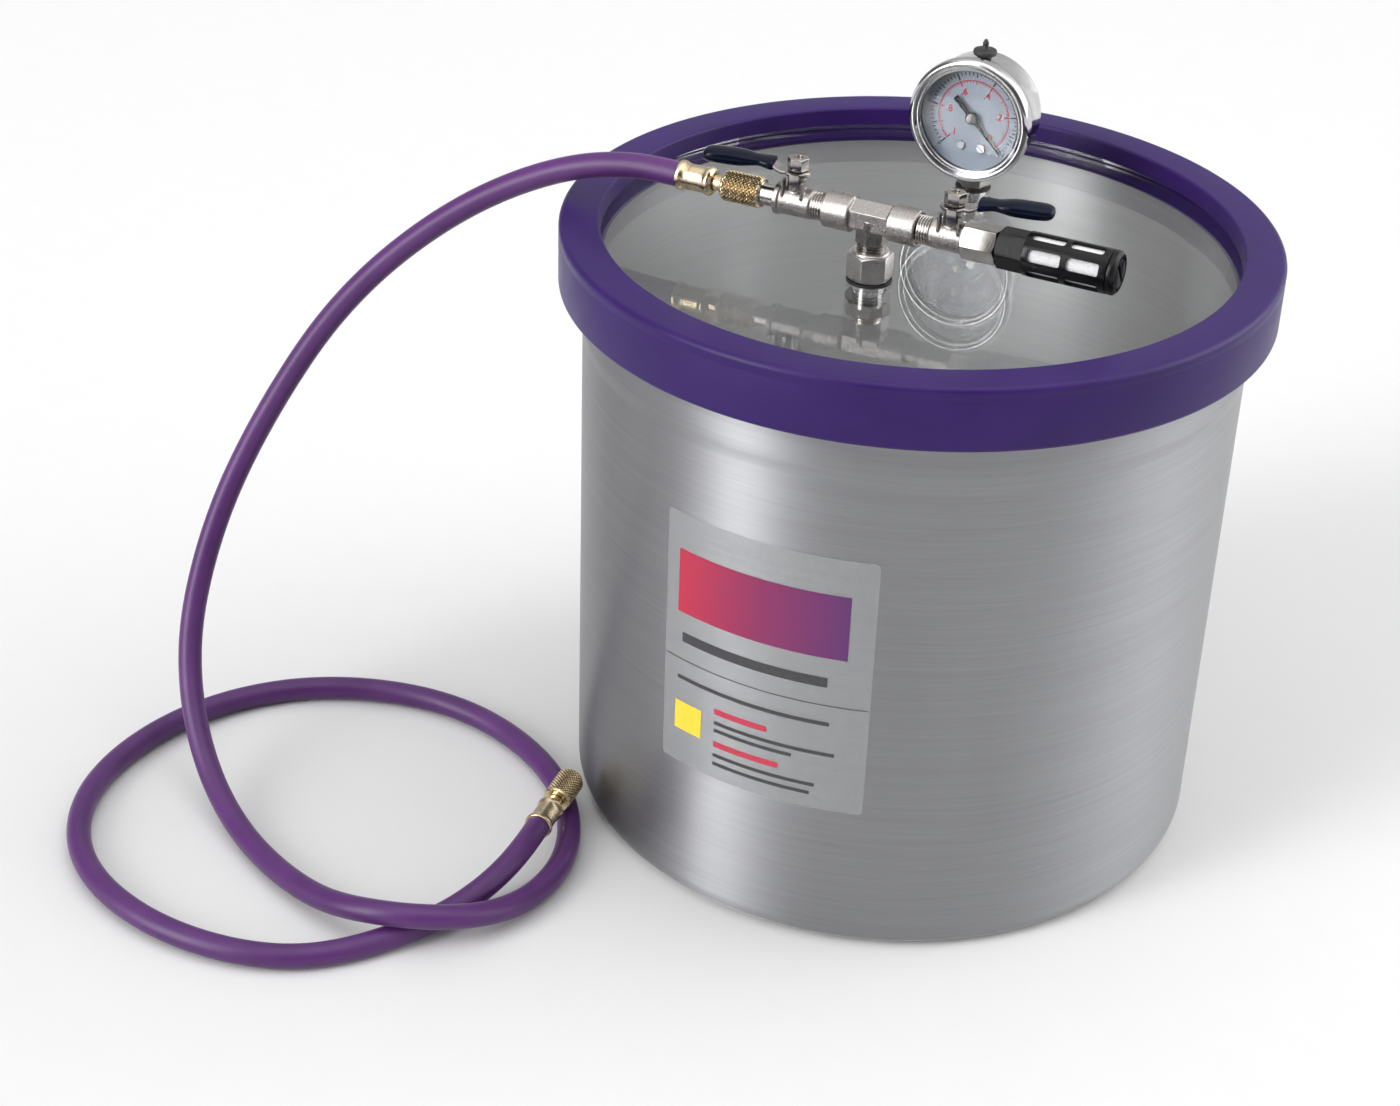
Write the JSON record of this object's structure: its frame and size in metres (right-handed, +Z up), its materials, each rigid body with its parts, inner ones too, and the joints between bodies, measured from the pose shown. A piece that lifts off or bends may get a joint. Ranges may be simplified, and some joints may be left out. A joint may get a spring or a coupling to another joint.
{
  "type": "vacuum degassing pot",
  "caption": "Open-topped metal pot with a gasketed glass lid that carries a valve manifold, a vacuum gauge, an air filter and a hose.",
  "frame": {"origin": "centre of the pot's underside", "axes": "+Z up; +X along the manifold, from the hose to the air filter; the label and the gauge face -Y"},
  "size_m": [0.496, 0.461, 0.3586],
  "materials": {
    "brushed_aluminium": "spun and brushed, satin",
    "purple_silicone": "moulded silicone, satin, faintly translucent",
    "lid_glass": "clear, polished",
    "nickel": "nickel plated, cast and machined",
    "brass": "machined",
    "stainless": "polished",
    "black_rubber": "matt",
    "black_vinyl": "dipped vinyl, glossy",
    "black_plastic": "moulded, satin",
    "white_ptfe": "matt",
    "dial_white": "printed, satin",
    "hose_rubber": "extruded, satin",
    "clear_film": "printed film"
  },
  "bodies": {
    "pot": {"pot_shell": "brushed_aluminium", "pot_label": "clear_film", "free_end_ferrule": "brass", "free_end_barb": "brass", "free_end_seal": "black_rubber"},
    "lid": {"gasket": "purple_silicone", "lid_glass": "lid_glass", "bulkhead_fitting": "nickel", "bulkhead_upper_washer": "black_rubber", "bulkhead_lower_washer": "black_rubber", "bulkhead_nut": "nickel", "manifold_tee": "nickel", "vacuum_valve_body": "nickel", "vacuum_valve_inner_seat": "white_ptfe", "vacuum_valve_outer_seat": "white_ptfe", "vacuum_valve_packing": "black_rubber", "vent_valve_body": "nickel", "vent_valve_inner_seat": "white_ptfe", "vent_valve_outer_seat": "white_ptfe", "vent_valve_packing": "black_rubber", "flare_adapter": "nickel", "hose_ferrule": "brass", "hose_barb": "brass", "hose_seal": "black_rubber", "hose_tube": "hose_rubber", "filter_housing": "black_plastic", "filter_element": "white_ptfe", "filter_cap": "black_plastic", "gauge_bezel": "stainless", "gauge_lens": "lid_glass", "gauge_case": "stainless", "gauge_dial": "dial_white", "dial_screw_left": "stainless", "dial_screw_right": "stainless", "movement_frame": "brass", "bourdon_tube": "brass", "gauge_socket": "nickel", "gauge_upper_washer": "black_rubber", "gauge_lower_washer": "black_rubber", "gauge_nut": "nickel", "gauge_plug": "black_rubber"},
    "vacuum_handle": {"vacuum_lever": "nickel", "vacuum_lever_sleeve": "black_vinyl", "vacuum_lever_nut": "nickel", "vacuum_valve_stem": "brass", "vacuum_valve_ball": "stainless"},
    "vent_handle": {"vent_lever": "nickel", "vent_lever_sleeve": "black_vinyl", "vent_lever_nut": "nickel", "vent_valve_stem": "brass", "vent_valve_ball": "stainless"},
    "pointer": {"gauge_pointer": "black_plastic"},
    "sector": {"sector_gear": "brass"},
    "hose_nut": {"hose_swivel_nut": "brass"},
    "free_nut": {"free_end_swivel_nut": "brass"}
  },
  "joints": [
    {"name": "lid_lift", "type": "slide", "parent": "pot", "child": "lid", "axis": [0, 0, 1], "range_m": [0, 0.1], "deforming": ["hose_tube"]},
    {"name": "vacuum_lever_turn", "type": "hinge", "parent": "lid", "child": "vacuum_handle", "pos_m": [-0.0398, -0.05, 0.329], "axis": [0, 0, 1], "range_deg": [-11, 79]},
    {"name": "vent_lever_turn", "type": "hinge", "parent": "lid", "child": "vent_handle", "pos_m": [0.0338, -0.05, 0.329], "axis": [0, 0, 1], "range_deg": [-11, 79]},
    {"name": "sector_turn", "type": "hinge", "parent": "lid", "child": "sector", "pos_m": [-0.0196, 0.0729, 0.3238], "axis": [0, -1, 0], "range_deg": [-33.75, 0]},
    {"name": "pointer_turn", "type": "hinge", "parent": "lid", "child": "pointer", "pos_m": [-0.0031, 0.0649, 0.3238], "axis": [0, -1, 0], "range_deg": [0, 270]},
    {"name": "hose_nut_spin", "type": "hinge", "parent": "lid", "child": "hose_nut", "pos_m": [-0.066, -0.05, 0.3154], "axis": [1, 0, 0], "continuous": true},
    {"name": "free_nut_spin", "type": "hinge", "parent": "pot", "child": "free_nut", "pos_m": [-0.1086, -0.158, 0.0193], "axis": [-0.1219, 0.9925, 0], "continuous": true}
  ],
  "couplings": [
    {"joint": "pointer_turn", "follows": "sector_turn", "ratio": -8}
  ]
}
